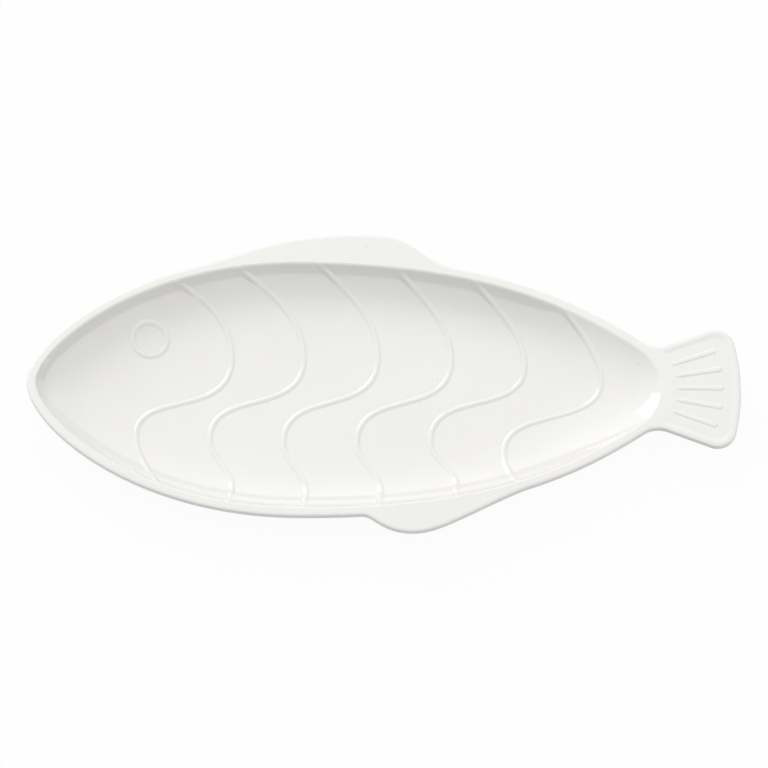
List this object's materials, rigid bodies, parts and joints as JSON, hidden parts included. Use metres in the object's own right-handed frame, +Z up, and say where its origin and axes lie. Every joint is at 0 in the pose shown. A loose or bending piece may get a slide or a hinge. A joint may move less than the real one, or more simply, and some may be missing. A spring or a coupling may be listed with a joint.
{
  "type": "fish shaped platter",
  "caption": "Shallow fish shaped serving platter in white glazed ceramic, with raised wavy scales, an eye ring, fins and a flared tail on a narrow rim.",
  "frame": {"origin": "on the table, below the middle of the platter's length and width", "axes": "+X from the nose to the tail, +Y towards the back fin, +Z up out of the well"},
  "size_m": [0.48, 0.2216, 0.0284],
  "materials": {
    "white_glaze": "glossy warm white glaze",
    "bare_clay": "dry unglazed stoneware"
  },
  "bodies": {
    "root": {"dish": "white_glaze", "rim": "white_glaze", "back_fin": "white_glaze", "belly_fin": "white_glaze", "tail_fin": "white_glaze", "eye_ring": "white_glaze", "scale_wave_1": "white_glaze", "scale_wave_2": "white_glaze", "scale_wave_3": "white_glaze", "scale_wave_4": "white_glaze", "scale_wave_5": "white_glaze", "scale_wave_6": "white_glaze", "tail_ray_1": "white_glaze", "tail_ray_2": "white_glaze", "tail_ray_3": "white_glaze", "tail_ray_4": "white_glaze", "tail_ray_5": "white_glaze", "foot_ring": "bare_clay"}
  },
  "joints": []
}
